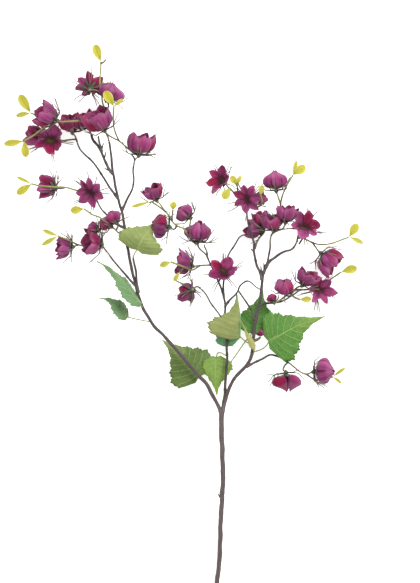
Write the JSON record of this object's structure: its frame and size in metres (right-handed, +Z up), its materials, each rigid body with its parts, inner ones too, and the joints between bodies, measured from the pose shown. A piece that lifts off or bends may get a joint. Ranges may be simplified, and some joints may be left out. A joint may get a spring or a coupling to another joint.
{
  "type": "chinese lantern stem",
  "caption": "Cut branching stem with papery magenta lantern flowers, toothed green leaves and small yellow leaflets on thin green stalks, lying flat.",
  "frame": {"origin": "on the surface that the stem lies on, under the middle of its bounding box", "axes": "+Y runs from the cut end to the top of the spray, +X across the spray to the right as seen from above, +Z up from the surface"},
  "size_m": [0.5386, 0.8402, 0.0893],
  "materials": {
    "wood": "matte bark",
    "leaf": "matte",
    "lantern": "papery, matte",
    "spray": "matte"
  },
  "bodies": {
    "root": {"woody_stem": "wood", "leaf_left_front": "leaf", "leaf_left_long": "leaf", "leaf_left_small": "leaf", "leaf_left_under": "leaf", "leaf_middle_hang": "leaf", "leaf_middle_fold": "leaf", "leaf_right_back": "leaf", "leaf_right_front": "leaf", "leaf_right_tan": "leaf", "lantern_top": "lantern", "lantern_dome": "lantern", "lantern_corner": "lantern", "lantern_west": "lantern", "lantern_far_west": "lantern", "lantern_crimson": "lantern", "lantern_crown": "lantern", "lantern_shoulder": "lantern", "lantern_outer": "lantern", "lantern_star": "lantern", "lantern_pair_b": "lantern", "lantern_low": "lantern", "lantern_side": "lantern", "lantern_mid_a": "lantern", "lantern_mid_b": "lantern", "lantern_mid_c": "lantern", "lantern_mid_d": "lantern", "lantern_mid_e": "lantern", "lantern_back": "lantern", "lantern_eye": "lantern", "lantern_north": "lantern", "lantern_heart": "lantern", "lantern_heart_small": "lantern", "lantern_inner": "lantern", "lantern_bowl": "lantern", "lantern_closed": "lantern", "lantern_east": "lantern", "lantern_far_east": "lantern", "lantern_slit": "lantern", "lantern_round": "lantern", "lantern_bud": "lantern", "lantern_bud_low": "lantern", "lantern_hanging": "lantern", "lantern_last": "lantern", "spray_top": "spray", "spray_corner": "spray", "spray_west": "spray", "spray_star": "spray", "spray_pair": "spray", "spray_low": "spray", "spray_middle": "spray", "spray_middle_low": "spray", "spray_back": "spray", "spray_eye": "spray", "spray_heart": "spray", "spray_inner": "spray", "spray_upper": "spray", "spray_east": "spray", "spray_south": "spray", "spray_bottom": "spray"}
  },
  "joints": []
}
